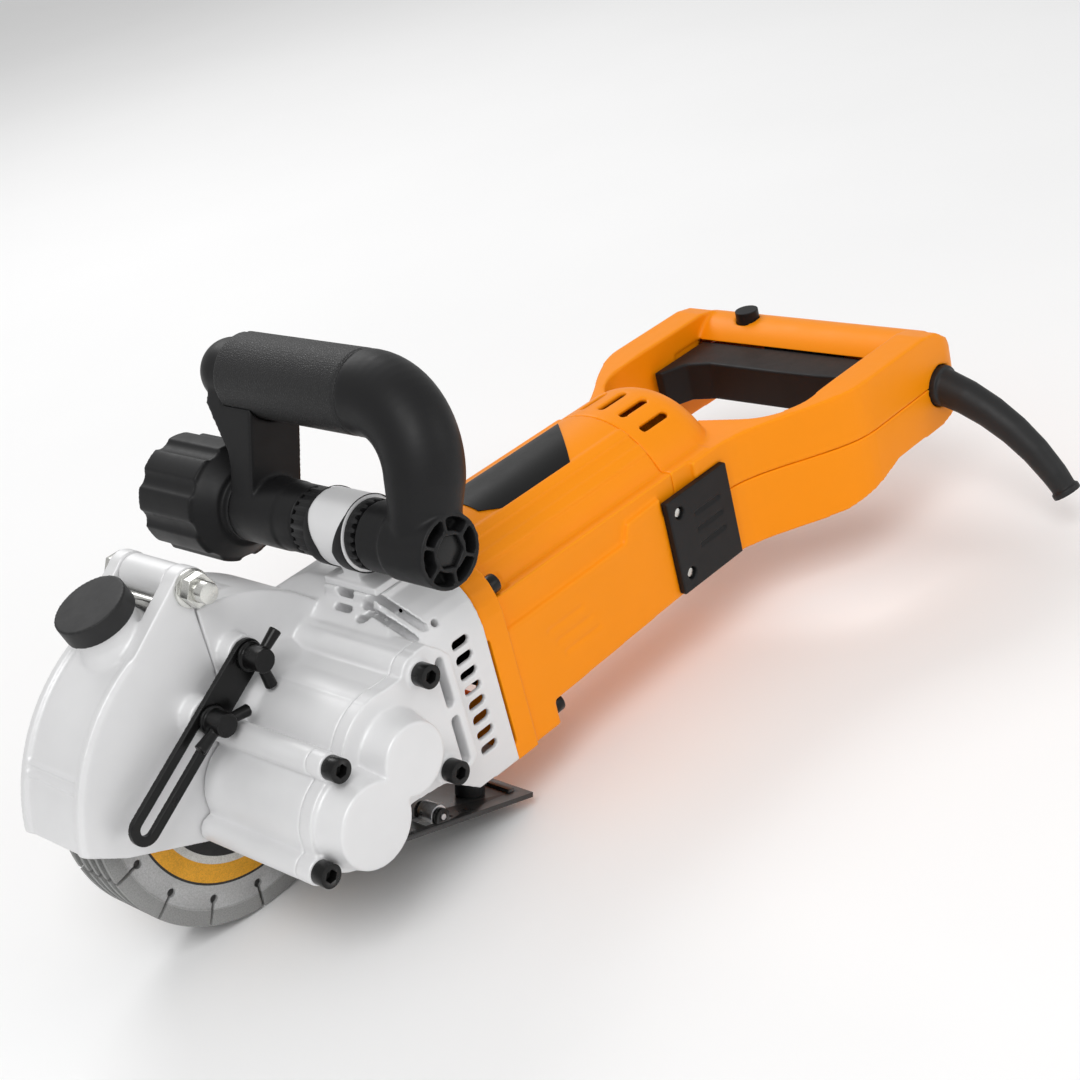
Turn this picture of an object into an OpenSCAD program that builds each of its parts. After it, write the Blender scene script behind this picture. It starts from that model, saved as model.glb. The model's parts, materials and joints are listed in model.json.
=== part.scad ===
// Wall chaser: five diamond discs under a swinging guard, driven through a bevel and a spur
// stage by a universal motor, with a bail handle in front and a D handle behind.
// Every module is drawn about the disc arbor: X runs back along the motor, Y away from the
// gearbox cover, Z up. The last lines move the whole tool so that it stands on Z = 0.

/* [Discs] */
// Diameter of the cutting discs
disc_d = 150; // [149:1:151]
// Thickness of a disc
disc_t = 2.4; // [2.2:0.1:2.6]
// Distance from one disc to the next
disc_pitch = 7; // [6.8:0.1:7]

/* [Drive] */
// Module of all the gear teeth
tooth_module = 1.5; // [1.5]
// Teeth of the gear on the disc arbor
arbor_gear_teeth = 25; // [25]
// Teeth of the spur pinion on the countershaft
spur_pinion_teeth = 19; // [19]
// Teeth of the bevel gear on the countershaft
bevel_gear_teeth = 31; // [31]
// Teeth of the bevel pinion on the armature
bevel_pinion_teeth = 11; // [11]

/* [Guard and base plate] */
// Tilt of the base plate against the motor axis at full depth, in degrees
plate_pitch = 18.9; // [18.5:0.1:19.3]
// Depth of the base plate's sole below the arbor
sole_depth = 29; // [28.5:0.5:29.5]
// Outer radius of the guard's roof
guard_r = 88; // [87:0.5:89]
// Outer radius of the dust port
port_r = 15.2; // [15:0.1:15.4]

/* [Handles] */
// Radius of the front bail handle's grip
bail_grip_r = 20; // [19.5:0.1:20.4]
// Radius of the rear grip
rear_grip_r = 21; // [20.5:0.5:21]
// Half of the width across the rear handle's arms
rear_half_w = 89; // [87:1:90]

/* [Hidden] */
$fn = 64;

eps = 0.01;
run_gap = 0.05;                  // radial clearance of a part that turns in its hole

// The arbor's place in the standing tool
arbor_at = [-186.9, 47.8, 75];

// Disc pack along Y, from the near face of the first disc
disc_count = 5;
pack_w = (disc_count - 1) * disc_pitch + disc_t;
seat_r = 11.1;
clamp_r = 24;
clamp_t = 2.6;

// Shaft lines
lay_at = [29, 16];               // countershaft, X and Z
motor_y = -20;                   // armature axis, Y
motor_z = 16;                    // armature axis, Z

// Gearbox stations along Y
cover_y = -88;                   // outer face of the cover's plate
seam_y = -80;                    // joint between cover and case
lobe_y = -103;                   // end face of the two bearing lobes
wall_y = -12;                    // near wall of the disc hood
far_y = 36;                      // far wall of the disc hood
hood_wall = 2.6;
case_end_x = 107;                // joint between gearbox and motor
barrel_r = 48;                   // outer radius of the motor barrel

// Guard pivot and lever studs, X and Z
pivot_at = [4, 98];
lever_at = [13.8, 59.7];
slot_at = [-14.7, 43];
lever_dir = atan2(slot_at[1] - lever_at[1], slot_at[0] - lever_at[0]);
lever_y = -24;

// Bail handle: its axis runs along Y through this X and Z
bail_at = [80.7, 91.3];
bail_rise = 64;                  // from the bail's axis up to the grip's axis

// Rear handle
shell_x = 255;                   // joint between motor housing and rear shells
split_z = 10;                    // parting plane of the rear shells
grip_at = [441, 15];             // rear grip axis, X and Z
arm_w = 20;

// ---------- helpers ----------
// Draws in the XZ plane and extrudes from y0 to y1
module along_y(y0, y1)
    translate([0, y1, 0]) rotate([90, 0, 0]) linear_extrude(y1 - y0) children();
// Draws in the YZ plane and extrudes from x0 to x1
module along_x(x0, x1)
    translate([x0, 0, 0]) rotate([90, 0, 90]) linear_extrude(x1 - x0) children();
module rod_y(at, r, y0, y1) along_y(y0, y1) translate(at) circle(r);
module rod_x(y, z, r, x0, x1) along_x(x0, x1) translate([y, z]) circle(r);
module tube_y(at, r, bore, y0, y1)
    along_y(y0, y1) translate(at) difference() { circle(r); circle(bore); }
module tube_x(y, z, r, bore, x0, x1)
    along_x(x0, x1) translate([y, z]) difference() { circle(r); circle(bore); }
module hex2d(across) circle(d = across / cos(30), $fn = 6);
// Turns a drawing made with the base plate level to the plate's real tilt
module pitched() rotate([0, plate_pitch, 0]) children();
// A socket head screw along +Y from its head's outer face
module socket_screw(at, y, head_r, head_h, shank_r, length) {
    difference() {
        rod_y(at, head_r, y, y + head_h);
        along_y(y - 1, y + head_h * 0.6) translate(at) hex2d(head_r);
    }
    rod_y(at, shank_r, y + head_h, y + head_h + length);
}
// One tooth is a trapezoid, narrow at the tip
module gear2d(teeth, bore) {
    pitch_r = teeth * tooth_module / 2;
    difference() {
        union() {
            circle(pitch_r - 1.15 * tooth_module);
            for (i = [0:teeth - 1]) rotate(i * 360 / teeth) tooth2d(pitch_r);
        }
        circle(bore);
    }
}
module tooth2d(pitch_r) {
    root = pitch_r - 1.3 * tooth_module;
    tip = pitch_r + 0.85 * tooth_module;
    polygon([[root, -1.25], [pitch_r, -1.08], [tip, -0.45], [tip, 0.45], [pitch_r, 1.08],
        [root, 1.25]]);
}

// ---------- disc pack and arbor ----------
module disc(i) {
    y = i * disc_pitch;
    rim_r = disc_d / 2;
    core_t = disc_t - 0.6;
    segments = 15;
    color("gainsboro") difference() {
        union() {
            along_y(y + 0.3, y + 0.3 + core_t) circle(rim_r - 7);
            along_y(y, y + disc_t) difference() { circle(rim_r); circle(rim_r - 8); }
        }
        rod_y([0, 0], seat_r + 0.02, y - 1, y + disc_t + 1);
        for (k = [0:segments - 1]) rotate([0, k * 360 / segments, 0])
            along_y(y - 1, y + disc_t + 1) {
                translate([rim_r - 13, -0.9]) square([14, 1.8]);
                translate([rim_r - 13, 0]) circle(2.2);
            }
    }
}
module cutting_discs() for (i = [0:disc_count - 1]) disc(i);
module disc_spacers() color("silver")
    for (i = [0:disc_count - 2])
        tube_y([0, 0], 20, seat_r + 0.02, i * disc_pitch + disc_t, (i + 1) * disc_pitch);
module inner_flange() color("dimgray") {
    tube_y([0, 0], clamp_r, 8, -6, -2);
    tube_y([0, 0], 20, 8, -2, 0);
}
module outer_flange() color("dimgray")
    tube_y([0, 0], clamp_r, 4.1, pack_w, pack_w + clamp_t);
module disc_screw() color("dimgray") difference() {
    union() {
        rod_y([0, 0], 7, pack_w + clamp_t, pack_w + clamp_t + 4);
        rod_y([0, 0], 4, pack_w - 14, pack_w + clamp_t);
    }
    along_y(pack_w + clamp_t + 1, pack_w + clamp_t + 5) hex2d(6);
}
module arbor_shaft() color("silver") difference() {
    union() {
        rod_y([0, 0], seat_r, 0, pack_w - 0.2);
        rod_y([0, 0], 7.9, -20, 0);
        rod_y([0, 0], 9.5, -78, -20);
        rod_y([0, 0], 8, -90, -78);
        rod_y([0, 0], 6, -100.3, -90);
    }
    rod_y([0, 0], 4.05, pack_w - 16, pack_w + 1);
}
module arbor_gear() color("darkgray")
    along_y(-89, -79)
        rotate(atan2(lay_at[1], lay_at[0])) gear2d(arbor_gear_teeth, 8.02);
module arbor_bearings() color("silver") {
    bearing_y([0, 0], 7.9 + run_gap, 17.5, -20, -12.2);
    bearing_y([0, 0], 6 + run_gap, 14, -100.5, -92.5);
}
// A ball bearing with its two races, the cage gap between them closed by shields
module bearing_y(at, bore, outer, y0, y1) {
    mid = (bore + outer) / 2;
    difference() {
        tube_y(at, outer, bore, y0, y1);
        tube_y(at, mid + 1.5, mid - 1.5, y0 - 1, y0 + 0.6);
        tube_y(at, mid + 1.5, mid - 1.5, y1 - 0.6, y1 + 1);
    }
}
module bearing_x(bore, outer, x0, x1) {
    mid = (bore + outer) / 2;
    difference() {
        tube_x(motor_y, motor_z, outer, bore, x0, x1);
        tube_x(motor_y, motor_z, mid + 1.5, mid - 1.5, x0 - 1, x0 + 0.6);
        tube_x(motor_y, motor_z, mid + 1.5, mid - 1.5, x1 - 0.6, x1 + 1);
    }
}

// ---------- countershaft ----------
bevel_gear_r = bevel_gear_teeth * tooth_module / 2;
bevel_pinion_r = bevel_pinion_teeth * tooth_module / 2;
module countershaft() color("silver") {
    rod_y(lay_at, 4, -18.3, -11.8);
    rod_y(lay_at, 6, -78.9, -18.3);
    rod_y(lay_at, 5, -100.3, -78.9);
}
module bevel_gear() color("darkgray") {
    back_y = motor_y - bevel_pinion_r - 4.8;
    difference() {
        union() {
            rod_y(lay_at, bevel_gear_r - 2, back_y - 4, back_y + 2);
            translate([lay_at[0], back_y + 2, lay_at[1]]) rotate([-90, 0, 0])
                cylinder(r1 = bevel_gear_r - 2, r2 = bevel_gear_r - 6, h = 2.4);
            for (i = [0:bevel_gear_teeth - 1])
                translate([lay_at[0], 0, lay_at[1]])
                    rotate([0, i * 360 / bevel_gear_teeth, 0])
                        along_y(back_y, back_y + 4.4)
                            polygon([[bevel_gear_r - 9, -0.6], [bevel_gear_r, -1.2],
                                [bevel_gear_r, 1.2], [bevel_gear_r - 9, 0.6]]);
        }
        rod_y(lay_at, 6.02, back_y - 5, back_y + 6);
    }
}
module spur_pinion() color("darkgray")
    along_y(-90, -79.5) translate(lay_at)
        rotate(atan2(lay_at[1], lay_at[0]) + 180 + 180 / spur_pinion_teeth)
            gear2d(spur_pinion_teeth, 5.02);
module countershaft_bearings() color("silver") {
    bearing_y(lay_at, 4 + run_gap, 11, -18.2, -11.6);
    bearing_y(lay_at, 5 + run_gap, 13, -100.5, -92.5);
}

// ---------- armature ----------
module armature_shaft() color("silver") {
    rod_x(motor_y, motor_z, 5, 45, 60);
    rod_x(motor_y, motor_z, 6, 60, 238);
    rod_x(motor_y, motor_z, 4, 238, 247.5);
}
module bevel_pinion() color("darkgray") {
    tip_x = lay_at[0] + bevel_gear_r - 7;
    along_x(tip_x, tip_x + 9) translate([motor_y, motor_z]) difference() {
        union() {
            circle(bevel_pinion_r - 1.9);
            for (i = [0:bevel_pinion_teeth - 1])
                rotate((i + 0.5) * 360 / bevel_pinion_teeth) pinion_tooth2d();
        }
        circle(5.02);
    }
}
module pinion_tooth2d() polygon([[bevel_pinion_r - 2.3, -1.3], [bevel_pinion_r - 0.4, -0.6],
    [bevel_pinion_r - 0.4, 0.6], [bevel_pinion_r - 2.3, 1.3]]);
module armature_core() color("lightslategray")
    along_x(142, 196) translate([motor_y, motor_z]) difference() {
        circle(26);
        circle(6.02);
        for (i = [0:11]) rotate(i * 30) translate([14, -1.8]) square([13, 3.6]);
    }
module armature_windings() color("darkorange") {
    for (x = [[132, 142], [196, 206]]) difference() {
        rod_x(motor_y, motor_z, 22, x[0], x[1]);
        rod_x(motor_y, motor_z, 6.02, x[0] - 1, x[1] + 1);
    }
    along_x(142, 196) translate([motor_y, motor_z])
        for (i = [0:11]) rotate(i * 30) translate([14.2, -1.6]) square([10.5, 3.2]);
}
module commutator() color("chocolate") {
    bars = 24;
    along_x(209, 229) translate([motor_y, motor_z]) difference() {
        circle(15);
        circle(6.02);
        for (i = [0:bars - 1]) rotate(i * 360 / bars) translate([13.4, -0.3]) square([2, 0.6]);
    }
}
module cooling_fan() color("black") {
    blades = 11;
    hub_r = 13;
    difference() {
        union() {
            rod_x(motor_y, motor_z, hub_r, 112, 128);
            rod_x(motor_y, motor_z, 38, 126, 128);
            for (i = [0:blades - 1]) translate([0, motor_y, motor_z])
                rotate([i * 360 / blades, 0, 0]) translate([114, -1, hub_r - 1])
                    cube([13, 2, 25]);
        }
        rod_x(motor_y, motor_z, 6.02, 111, 129);
    }
}
module armature_bearings() color("silver") {
    bearing_x(6 + run_gap, 14, 60.5, 68.3);
    bearing_x(4 + run_gap, 11, 239, 246);
}

// ---------- stator and brushes ----------
module stator_outline() intersection() {
    circle(barrel_r - 4.1);
    square([100, 80], center = true);
}
module air_baffle() color("black")
    along_x(128.7, 130.3) translate([motor_y, motor_z]) difference() {
        stator_outline();
        circle(29);
    }
module stator_core() color("lightslategray")
    along_x(140, 198) translate([motor_y, motor_z]) difference() {
        stator_outline();
        circle(26.6);
        for (s = [-1, 1]) intersection() {
            difference() { circle(38.5); circle(26.6 - 1); }
            translate([-18, s > 0 ? 10 : -50]) square([36, 40]);
        }
    }
module stator_coils() color("chocolate")
    for (s = [-1, 1]) difference() {
        along_x(131, 207) translate([motor_y, motor_z]) intersection() {
            difference() { circle(38); circle(29); }
            translate([-16, s > 0 ? 12 : -52]) square([32, 40]);
        }
        along_x(141, 197) translate([motor_y - 4, motor_z - 60]) square([8, 120]);
    }
module brush_holders() color("goldenrod")
    for (s = [-1, 1]) translate([219, motor_y, motor_z]) rotate([s * 90, 0, 0])
        difference() {
            translate([-6, -5, 17]) cube([12, 10, 27]);
            translate([-4.2, -3.2, 16]) cube([8.4, 6.4, 26]);
        }
module carbon_brushes() color("dimgray")
    for (s = [-1, 1]) translate([219, motor_y, motor_z]) rotate([s * 90, 0, 0])
        translate([-4, -3, 15.3]) cube([8, 6, 18]);

// ---------- gearbox ----------
// Four screws hold the cover: X and Z of each
cover_screw_at = [[54, 42], [55, -10], [-5, 30], [-26, -11]];
module bosses2d(r) for (p = cover_screw_at) translate(p) circle(r);
module cover2d(r) {
    circle(25 + r);
    translate(lay_at) circle(29.5 + r);
    bosses2d(6.5 + r);
    translate(cover_screw_at[0]) circle(9.5);
    polygon([[22, 45], [50, 45], [56, 52], [62, 52], [70, 45], [74, 40], [74, -14], [70, -17.5],
        [52, -16], [31, -13.5], [10, -20]]);
}
// Section of the gearbox across the motor axis, its upper corners rounded
half_section = [[-55, -62], [-55, 18], [-53.5, 25], [-51, 31], [-47, 36], [-41, 41], [-33, 45.5],
    [-24, 48]];
module case_section2d() translate([motor_y, motor_z]) for (s = [0, 1]) mirror([s, 0])
    polygon(concat(half_section, [[0.01, 48], [0.01, -62]]));
// Side view: a slope up to the handle's plateau, and a floor that drops towards the motor
module case_side2d() polygon([[50, 45], [55, 49], [76, 64], [case_end_x, 64],
    [case_end_x, -42], [80, -41], [60, -25], [50, 0]]);
module gearbox_case() color("gainsboro") difference() {
    union() {
        hood();
        neck();
        difference() {
            intersection() {
                along_x(50, case_end_x) case_section2d();
                along_y(-75, far_y - 1) case_side2d();
            }
            along_y(flange_wall_y, far_y - hood_wall) hood_inside2d();
        }
        rod_y(lever_at, 9, lever_y + 3.3, wall_y + 1);
        pivot_tube();
        // Pad under the bail handle's bracket
        translate([69, -53, 60]) cube([27, 38, 4.6]);
    }
    gear_space();
    case_vents();
    rod_y(pivot_at, 5 + run_gap, -3, 36);
    rod_y(lever_at, 3.1, lever_y, wall_y - 1);
    bosses_bore(2.6, seam_y - 1, seam_y + 20);
    stop_socket();
}
// Barrel that carries the two gear shafts, from the cover's joint to the hood
module neck() {
    along_y(seam_y, wall_y - 0.5) cover2d(0);
    along_y(wall_y - 0.6, wall_y + 1) intersection() {
        cover2d(0);
        hood2d();
    }
    translate([lay_at[0], -27.5, lay_at[1]]) rotate([-90, 0, 0])
        cylinder(r1 = 29.5, r2 = 36, h = 14.9);
}
// Tube on the hood that the guard's pivot bolt runs in
module pivot_tube() {
    rod_y(pivot_at, 9, -2.2, 30.5);
    along_y(0, 30.4) polygon([[5, 84], [5, 91], [12.5, 96], [34, 79], [20, 76]]);
}
// Socket in the floor for the rubber depth stop
stop_at = [105.5, -50];
module stop_socket() pitched() translate([stop_at[0], stop_at[1], -30])
    cylinder(r = 7.5, h = 21.2);
module bosses_bore(r, y0, y1) along_y(y0, y1) bosses2d(r);
// Fixed half of the hood: two cheeks and a roof over the rear of the discs
flange_wall_y = -3;              // inner face of the hood's thick near cheek
module hood() {
    difference() {
        along_y(wall_y, far_y) hood2d();
        along_y(flange_wall_y, far_y - hood_wall) hood_inside2d();
        rod_y([0, 0], clamp_r + 6.2, far_y - hood_wall - 1, far_y + 1);
        rod_y([0, 0], clamp_r + 2, -7, 0);
    }
    // Tongues that reach inside the guard and keep the gap closed as it swings
    for (y = [[-9.1, -6.8], [31.2, 33]]) along_y(y[0], y[1]) difference() {
        intersection() {
            circle(79);
            rotate(-plate_pitch) translate([-42, -10]) square([42, 92]);
        }
        circle(clamp_r + 3);
    }
    along_y(32.9, far_y - hood_wall + 0.1) difference() {
        intersection() {
            circle(79);
            rotate(-plate_pitch) translate([-12, -10]) square([12, 92]);
        }
        circle(clamp_r + 4.5);
    }
}
module hood2d() intersection() {
    circle(guard_r - 1);
    rotate(-plate_pitch) polygon([[-18.3, -23], [-18.3, 4.8], [-14.3, 17], [-14.3, 50],
        [-26.3, 88], [120, 88], [120, 8], [48, 8], [30, -23]]);
}
module hood_inside2d() intersection() {
    circle(guard_r - 6);
    rotate(-plate_pitch) translate([-44, -60]) square([150, 150]);
    translate([-100, -100]) square([180, 200]);
}
// Spaces for the gears, shafts, bearings and fan, and the hole into the motor
module gear_space() {
    rod_y([0, 0], 22, seam_y - 1, -34);
    rod_y([0, 0], 12.5, -35, -19.9);
    rod_y([0, 0], 17.5, -20.01, -12.19);
    rod_y([0, 0], 10.5, -13, 0);
    rod_y(lay_at, 25.2, seam_y - 1, -23);
    rod_y(lay_at, 11, -24, -11.59);
    rod_x(motor_y, motor_z, 12, 30, 61);
    rod_x(motor_y, motor_z, 14, 60.49, 68.31);
    rod_x(motor_y, motor_z, 8, 68, 84);
    difference() {
        rod_x(motor_y, motor_z, 45, 83, case_end_x + 1);
        along_y(-6, far_y + 1) circle(guard_r - 2);
    }
    // The vent chamber beside the fan
    translate([84, -72, -38]) cube([30, 24, 80]);
}
module case_vents() {
    // Eight slots in the near side, fed by the fan
    vents = 8;
    for (i = [0:vents - 1])
        translate([91.6, 0, 32.8 - i * 8.2]) along_y(-80, -70) slot2d(11, 2.2, 0);
    for (z = [29, -2]) translate([67, 0, z]) along_y(seam_y - 1, seam_y + 6) slot2d(26, 2.5, 90);
    // Slots across the front slope under the bail handle
    on_slope() for (v = [0, 6.8]) {
        translate([30, v + 13.5]) slot2d(12, 1.9, 0);
        translate([0, v + 10.5]) s_slot2d();
    }
    // Small hole on the near shoulder
    translate([84, -69, 46]) rotate([50, 0, 0]) cylinder(r = 1.9, h = 14, center = true);
}
// Draws on the front slope: X towards the near side, Y up the slope
module on_slope() translate([55, 0, 49]) rotate([35.5, 0, -90]) translate([0, 0, -16])
    linear_extrude(27) children();
module s_slot2d() {
    translate([44, 0]) slot2d(6, 1.9, 0);
    translate([47.5, 2.4]) slot2d(8, 1.9, 58);
    translate([59.5, 2.6]) slot2d(24, 1.9, -12);
}
module slot2d(length, r, angle) rotate(angle) {
    translate([-length / 2 + r, -r]) square([length - 2 * r, 2 * r]);
    for (s = [-1, 1]) translate([s * (length / 2 - r), 0]) circle(r, $fn = 24);
}
module gearbox_cover() color("gainsboro") difference() {
    union() {
        along_y(cover_y, seam_y) cover2d(0);
        lobe([0, 0], 23, 20);
        lobe(lay_at, 20, 17);
        along_y(cover_y - 1.5, cover_y + 1) bosses2d(6.5);
    }
    for (z = [29, -2]) translate([67, 0, z]) along_y(cover_y - 1, seam_y + 1)
        slot2d(26, 2.5, 90);
    rod_y([0, 0], 21.5, cover_y - 2.5, seam_y + 1);
    rod_y([0, 0], 14, -100.5, -88);
    rod_y(lay_at, 17, cover_y - 3, seam_y + 1);
    rod_y(lay_at, 13, -100.5, -88);
    bosses_bore(3.1, cover_y - 3, seam_y + 1);
}
module lobe(at, base_r, top_r)
    translate([at[0], cover_y + eps, at[1]]) rotate([90, 0, 0])
        cylinder(r1 = base_r, r2 = top_r, h = cover_y - lobe_y);
module cover_screws() color("black")
    for (p = cover_screw_at) socket_screw(p, cover_y - 8.6, 5.6, 7, 2.55, 20);

// ---------- motor housing and rear shells ----------
// Section of the housing: a barrel with flat cheeks and a lower skirt
module housing2d(r) translate([motor_y, motor_z]) {
    circle(barrel_r + r);
    translate([-49.5 - r, -40]) square([99 + 2 * r, 62 + r]);
    translate([-52 - r, -62]) square([104 + 2 * r, 67 + r]);
}
module housing_side2d(r) polygon([[100, 80], [100, -43 - r], [141 + r, -43 - r],
    [141 + r, -30 - r], [200, -28 - r], [shell_x + 1, -26 - r], [shell_x + 1, 80]]);
module motor_housing() color("orange") {
    wall = 3.4;
    difference() {
        union() {
            intersection() {
                union() {
                    along_x(case_end_x, shell_x) housing2d(0);
                    // Square collar that matches the gearbox
                    along_x(case_end_x, 122) offset_section2d();
                }
                along_y(-90, 60) housing_side2d(0);
            }
            barrel_ribs();
            // Raised pads in front of the side covers
            for (s = [0, 1]) translate([0, motor_y, 0]) mirror([0, s, 0])
                along_y(-52, -45) polygon([[209, 18], [215, 30], [241, 31], [241, 18]]);
        }
        intersection() {
            along_x(case_end_x + wall, shell_x + 1) housing2d(-wall - 0.6);
            along_y(-90, 60) translate([0, wall]) housing_side2d(0);
        }
        rod_x(motor_y, motor_z, 42, case_end_x - 1, case_end_x + 5);
        side_cover_pockets(0.2);
        // Grooves in the skirt
        for (s = [-1, 1], i = [0:2]) translate([160 + 4 * i, motor_y + s * 52, 6 - 8 * i])
            along_y(-0.8, 0.8) slot2d(27, 1.3, 0);
        housing_screw_holes();
        // Opening along the joint that lets air past the fan
        translate([case_end_x - 1, -80, -34]) cube([3.4, 12, 58]);
    }
    rear_bearing_seat();
}
module offset_section2d() translate([motor_y, motor_z]) for (s = [0, 1]) mirror([s, 0])
    polygon([[-54, -62], [-54, 18], [-52.5, 25], [-50, 31], [-46, 36], [-40, 40], [-30, 44],
        [0.01, 44], [0.01, -62]]);
// Two long ridges on each shoulder of the barrel
module barrel_ribs()
    for (s = [-1, 1]) for (a = [61, 45])
        translate([0, motor_y, motor_z]) rotate([s * (90 - a), 0, 0])
            translate([case_end_x + 6, -3, barrel_r - 3.5])
                cube([shell_x - case_end_x - 6, 6, 4.3]);
// Spider that holds the rear bearing and the brush gear
module rear_bearing_seat() {
    tube_x(motor_y, motor_z, 14, 11, 238.5, 248);
    tube_x(motor_y, motor_z, 14, 8, 247, 250);
    for (arm = [[45, 46], [135, 56], [225, 56], [315, 46]])
        translate([239, motor_y, motor_z]) rotate([arm[0], 0, 0])
            translate([0, -3, 13]) cube([8, 6, arm[1] - 13]);
}
housing_screw_at = [[-65, 43], [-65, -36], [25, 43], [25, -36]];   // Y and Z
module housing_screw_holes()
    for (p = housing_screw_at) {
        rod_x(p[0], p[1], 2.6, case_end_x - 1, 150);
        if (p[1] > 0) rod_x(p[0], p[1], 5.8, 121, 136);
    }
module housing_screws() color("black")
    for (p = housing_screw_at) {
        head_x = p[1] > 0 ? 121.1 : 141.1;
        rod_x(p[0], p[1], 4.8, head_x, head_x + 7);
        rod_x(p[0], p[1], 2.5, case_end_x + 0.1, head_x);
    }
side_cover_x = [241, 290];
side_cover_z = [-25, 28];
module side_cover_pockets(gap)
    for (s = [-1, 1]) translate([0, motor_y + s * 54, 0])
        translate([side_cover_x[0] - gap, -3.1, side_cover_z[0] - gap])
            cube([side_cover_x[1] - side_cover_x[0] + 2 * gap, 6.2,
                side_cover_z[1] - side_cover_z[0] + 2 * gap]);
module side_covers() color("dimgray")
    for (s = [-1, 1]) translate([0, motor_y, 0]) mirror([0, s > 0 ? 1 : 0, 0]) difference() {
        translate([side_cover_x[0], -55.5, side_cover_z[0]])
            cube([side_cover_x[1] - side_cover_x[0], 4.5, side_cover_z[1] - side_cover_z[0]]);
        for (i = [0:2]) translate([270, 0, 13 - 9 * i]) along_y(-56, -54.6) slot2d(22, 1.4, 0);
        for (z = [19, -16]) {
            rod_y([249, z], 3.4, -56, -52.5);
            rod_y([249, z], 1.6, -56, -40);
        }
    }
module side_cover_screws() color("silver")
    for (s = [-1, 1]) translate([0, motor_y, 0]) mirror([0, s > 0 ? 1 : 0, 0])
        for (z = [19, -16]) {
            rod_y([249, z], 2.4, -54, -52.5);
            rod_y([249, z], 1.5, -52.5, -51.1);
        }

// Half-width of the arms: a smooth S from the motor's cheeks out to the grip
function ease(t) = t <= 0 ? 0 : t >= 1 ? 1 : t * t * (3 - 2 * t);
function arm_half(x) = 52.3 + (rear_half_w - 52.3) * ease((x - 290) / 84);
arm_steps = [for (i = [0:14]) 290 + i * 6];
corner_r = 16;
arm_end_x = 462;
module arms2d(inset) {
    corner = [for (a = [0:10:90]) [arm_end_x - corner_r + (corner_r - inset) * cos(90 - a),
        rear_half_w - corner_r + (corner_r - inset) * sin(90 - a)]];
    outer = concat([for (x = arm_steps) [x, arm_half(x) - inset]], corner);
    for (s = [-1, 1]) translate([0, motor_y]) mirror([0, s > 0 ? 0 : 1]) difference() {
        polygon(concat([[shell_x + 14, 10], [shell_x + 14, 52.3 - inset]], outer,
            [[arm_end_x - inset, 50], [arm_end_x - 36, 40], [300, 10]]));
        hand_hole2d(inset);
    }
}
// The opening that the hand goes through
module hand_hole2d(inset) {
    // The walls beside the hole are twice as thick, so they can hold the trigger's pin
    hole_half = rear_half_w - arm_w + inset;
    hull() {
        for (s = [-1, 1]) {
            translate([352, s * (hole_half - 34)]) circle(34 + inset);
            translate([500, s * (hole_half - 8)]) circle(8 + inset);
        }
        translate([330, 0]) circle(24 + inset);
    }
}
// Side view of the arms, rounded behind the grip
module arms_side2d(inset) polygon([[shell_x + 4, 37.4 - inset], [300, 37 - inset],
    [372, 40 - inset], [430, 40 - inset], [442, 37.5 - inset],
    [451 - 0.7 * inset, 31 - 0.7 * inset], [458 - inset, 22], [462 - inset, 10], [461 - inset, 0],
    [456 - 0.7 * inset, -8 + 0.7 * inset], [448, -13 + inset], [436, -16 + inset],
    [392, -15 + inset], [372, -21 + inset], [350, -27 + inset], [320, -28 + inset],
    [shell_x + 4, -26 + inset]]);
module arms(inset) intersection() {
    translate([0, 0, -60]) linear_extrude(120) arms2d(inset);
    along_y(-140, 100) arms_side2d(inset);
}
dome_x = 286;
// Half section of the dome: a flat middle with a quarter round of radius r outside it
module dome2d(r) {
    square([25.5, r]);
    translate([25, 0]) intersection() {
        circle(r);
        square(30);
    }
}
// Rear end of the motor barrel, closing to a dome
module barrel_end(inset) intersection() {
    union() {
        along_x(shell_x - (inset > 0 ? 1 : 0), dome_x) housing2d(-inset);
        translate([dome_x - 0.6, motor_y, motor_z]) rotate([0, 90, 0]) rotate_extrude()
            dome2d(barrel_r - 25.1 - inset);
    }
    along_y(-90, 60) polygon([[shell_x - 2, 80], [shell_x - 2, -26 + inset],
        [312, -26 + inset], [312, 80]]);
}
module rear_shell_solid(inset) {
    barrel_end(inset);
    arms(inset);
    intersection() {
        rod_y(grip_at, rear_grip_r - inset, motor_y - rear_half_w + arm_w - 6,
            motor_y + rear_half_w - arm_w + 6);
        translate([300, -200, -50]) cube([200, 400, 100]);
    }
}
module rear_shells() {
    wall = 3;
    difference() {
        rear_shell_solid(0);
        rear_shell_solid(wall);
        side_cover_pockets(0.2);
        trigger_slot();
        rod_z([440, 22], 7.2, 20, 60);
        rod_y(boot_at, 11.9, -112, -100);
        rear_vents();
        rod_z(trigger_hinge, 2.02, -13.1, 37.1);
    }
    // Rib between the cable boot and the cord clamp
    difference() {
        intersection() {
            translate([425, -101, -15]) cube([28, 3, 55]);
            rear_shell_solid(0.5);
        }
        rod_y(boot_at, 5, -103, -95);
    }
}
module rod_z(at, r, z0, z1) translate([at[0], at[1], z0]) cylinder(r = r, h = z1 - z0);
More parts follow.
